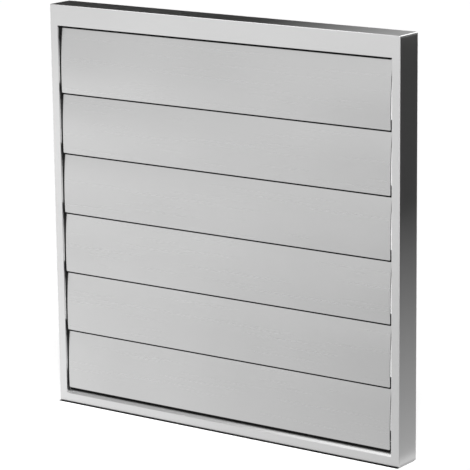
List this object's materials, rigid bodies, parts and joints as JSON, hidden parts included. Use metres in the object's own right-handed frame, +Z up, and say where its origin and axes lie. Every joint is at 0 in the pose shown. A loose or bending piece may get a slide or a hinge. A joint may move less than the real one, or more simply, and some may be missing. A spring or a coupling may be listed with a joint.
{
  "type": "louvred backdraft damper",
  "caption": "Square wall-mounted louvre backdraft damper: shallow metal frame with bowed horizontal flaps on pivot pins that swing out in an airflow and fall shut.",
  "frame": {"origin": "middle of the four wall-screw holes, on the back face of the frame", "axes": "+X to the right seen from the front, +Y into the wall, +Z up"},
  "size_m": [0.4, 0.03, 0.4],
  "materials": {
    "frame_aluminium": "satin, light grey",
    "blade_aluminium": "satin, light grey",
    "rail_black": "black powder coat",
    "rivet_aluminium": "plain",
    "pin_steel": "bright drawn",
    "bush_nylon": "black nylon",
    "seal_foam": "closed-cell foam"
  },
  "bodies": {
    "housing": {"frame": "frame_aluminium", "pivot_rail_left": "rail_black", "pivot_rail_right": "rail_black", "rail_rivets": "rivet_aluminium", "head_seal": "seal_foam", "pivot_bush_left_1": "bush_nylon", "pivot_bush_right_1": "bush_nylon", "pivot_bush_left_2": "bush_nylon", "pivot_bush_right_2": "bush_nylon", "pivot_bush_left_3": "bush_nylon", "pivot_bush_right_3": "bush_nylon", "pivot_bush_left_4": "bush_nylon", "pivot_bush_right_4": "bush_nylon", "pivot_bush_left_5": "bush_nylon", "pivot_bush_right_5": "bush_nylon", "pivot_bush_left_6": "bush_nylon", "pivot_bush_right_6": "bush_nylon"},
    "louvre_1": {"blade_1": "blade_aluminium", "lip_seal_1": "seal_foam", "pivot_pin_left_1": "pin_steel", "pivot_pin_right_1": "pin_steel"},
    "louvre_2": {"blade_2": "blade_aluminium", "lip_seal_2": "seal_foam", "pivot_pin_left_2": "pin_steel", "pivot_pin_right_2": "pin_steel"},
    "louvre_3": {"blade_3": "blade_aluminium", "lip_seal_3": "seal_foam", "pivot_pin_left_3": "pin_steel", "pivot_pin_right_3": "pin_steel"},
    "louvre_4": {"blade_4": "blade_aluminium", "lip_seal_4": "seal_foam", "pivot_pin_left_4": "pin_steel", "pivot_pin_right_4": "pin_steel"},
    "louvre_5": {"blade_5": "blade_aluminium", "lip_seal_5": "seal_foam", "pivot_pin_left_5": "pin_steel", "pivot_pin_right_5": "pin_steel"},
    "louvre_6": {"blade_6": "blade_aluminium", "lip_seal_6": "seal_foam", "pivot_pin_left_6": "pin_steel", "pivot_pin_right_6": "pin_steel"}
  },
  "joints": [
    {"name": "louvre_1_hinge", "type": "hinge", "parent": "housing", "child": "louvre_1", "pos_m": [0, -0.0232, 0.168], "axis": [-1, 0, 0], "range_deg": [0, 80]},
    {"name": "louvre_2_hinge", "type": "hinge", "parent": "housing", "child": "louvre_2", "pos_m": [0, -0.0232, 0.1083], "axis": [-1, 0, 0], "range_deg": [0, 80]},
    {"name": "louvre_3_hinge", "type": "hinge", "parent": "housing", "child": "louvre_3", "pos_m": [0, -0.0232, 0.0486], "axis": [-1, 0, 0], "range_deg": [0, 80]},
    {"name": "louvre_4_hinge", "type": "hinge", "parent": "housing", "child": "louvre_4", "pos_m": [0, -0.0232, -0.0111], "axis": [-1, 0, 0], "range_deg": [0, 80]},
    {"name": "louvre_5_hinge", "type": "hinge", "parent": "housing", "child": "louvre_5", "pos_m": [0, -0.0232, -0.0708], "axis": [-1, 0, 0], "range_deg": [0, 80]},
    {"name": "louvre_6_hinge", "type": "hinge", "parent": "housing", "child": "louvre_6", "pos_m": [0, -0.0232, -0.1305], "axis": [-1, 0, 0], "range_deg": [0, 80]}
  ]
}
